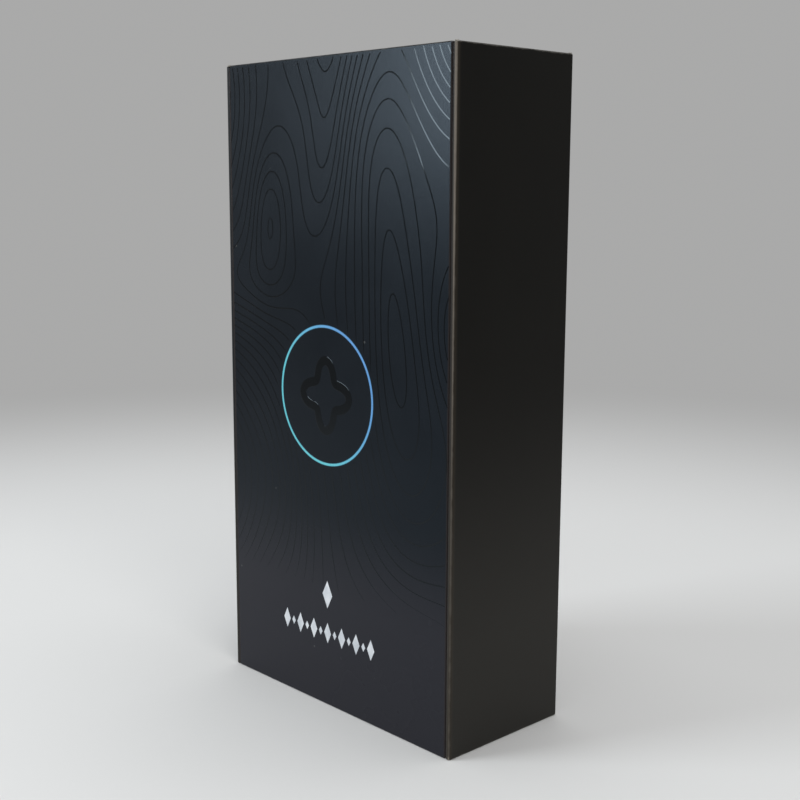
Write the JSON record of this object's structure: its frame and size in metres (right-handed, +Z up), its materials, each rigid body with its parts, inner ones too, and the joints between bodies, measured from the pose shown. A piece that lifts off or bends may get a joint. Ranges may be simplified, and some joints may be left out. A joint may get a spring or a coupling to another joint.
{
  "type": "handheld translator in hinged presentation case",
  "caption": "Rigid black presentation case standing on its end, with a hinged front cover and magnetic side flap, holding a slim handheld voice translator in a foam insert.",
  "frame": {"origin": "middle of the footprint on the surface that the case stands on", "axes": "+Z up along the standing height, the printed front cover faces -Y, the spine faces +X"},
  "size_m": [0.0926, 0.043, 0.18],
  "materials": {
    "printed_wrap": "matt laminated print with gloss lines",
    "plain_wrap": "matt laminated black paper",
    "greyboard": "bare greyboard",
    "lining_paper": "matt black paper",
    "magnet": "nickel plated",
    "steel": "bright",
    "foam": "fine closed-cell foam",
    "faced_card": "soft flocked face",
    "shell_plastic": "fine moulded texture",
    "window_glass": "polished, black behind",
    "diffuser": "clear lens",
    "adhesive": "matt",
    "display": "dark panel, switched off",
    "chassis_metal": "cast, blasted",
    "circuit_board": "solder resist",
    "battery_pouch": "foil pouch",
    "black_plastic": "moulded",
    "fine_mesh": "woven acoustic mesh",
    "flex_film": "polyimide film",
    "talk_key_a": "satin blue",
    "talk_key_b": "satin cyan",
    "side_key": "satin"
  },
  "bodies": {
    "case": {"antenna_flex": "flex_film", "back_board": "greyboard", "back_wrap": "plain_wrap", "battery": "battery_pouch", "camera_module": "black_plastic", "camera_window": "window_glass", "case_screws": "steel", "chassis_plate": "chassis_metal", "display_panel": "display", "flash_window": "diffuser", "foam_insert": "foam", "front_frame": "shell_plastic", "front_glass": "window_glass", "insert_card": "faced_card", "key_switches": "steel", "lower_board": "circuit_board", "main_board": "circuit_board", "microphones": "steel", "rear_shell": "shell_plastic", "screen_adhesive": "adhesive", "shield_cans": "steel", "speaker": "black_plastic", "speaker_mesh": "fine_mesh", "spine_board": "greyboard", "spine_wrap": "plain_wrap", "strike_plates": "steel", "tray_board": "greyboard", "tray_wrap": "lining_paper", "usb_socket": "steel"},
    "lid": {"lid_wrap": "printed_wrap", "lid_board": "greyboard", "lid_liner": "lining_paper"},
    "flap": {"flap_wrap": "plain_wrap", "flap_board": "greyboard", "flap_liner": "lining_paper", "flap_magnets": "magnet"},
    "talk_key_left": {"talk_key_left": "talk_key_a"},
    "talk_key_right": {"talk_key_right": "talk_key_b"},
    "power_key": {"power_key": "side_key"},
    "volume_key": {"volume_key": "side_key"}
  },
  "joints": [
    {"name": "lid_hinge", "type": "hinge", "parent": "case", "child": "lid", "pos_m": [0.0455, -0.02075, 0.09], "axis": [0, 0, 1], "range_deg": [0, 180]},
    {"name": "flap_hinge", "type": "hinge", "parent": "lid", "child": "flap", "pos_m": [-0.0455, -0.02075, 0.09], "axis": [0, 0, 1], "range_deg": [0, 180]},
    {"name": "talk_left_press", "type": "slide", "parent": "case", "child": "talk_key_left", "axis": [0, 1, 0], "range_m": [0, 0.00035], "stiffness_N_per_m": 2000},
    {"name": "talk_right_press", "type": "slide", "parent": "case", "child": "talk_key_right", "axis": [0, 1, 0], "range_m": [0, 0.00035], "stiffness_N_per_m": 2000},
    {"name": "power_press", "type": "slide", "parent": "case", "child": "power_key", "axis": [-1, 0, 0], "range_m": [0, 0.00035], "stiffness_N_per_m": 2000},
    {"name": "volume_rock", "type": "hinge", "parent": "case", "child": "volume_key", "pos_m": [0.02615, -0.0139, 0.14955], "axis": [0, 1, 0], "range_deg": [-2, 2], "stiffness_Nm_per_rad": 0.2}
  ]
}
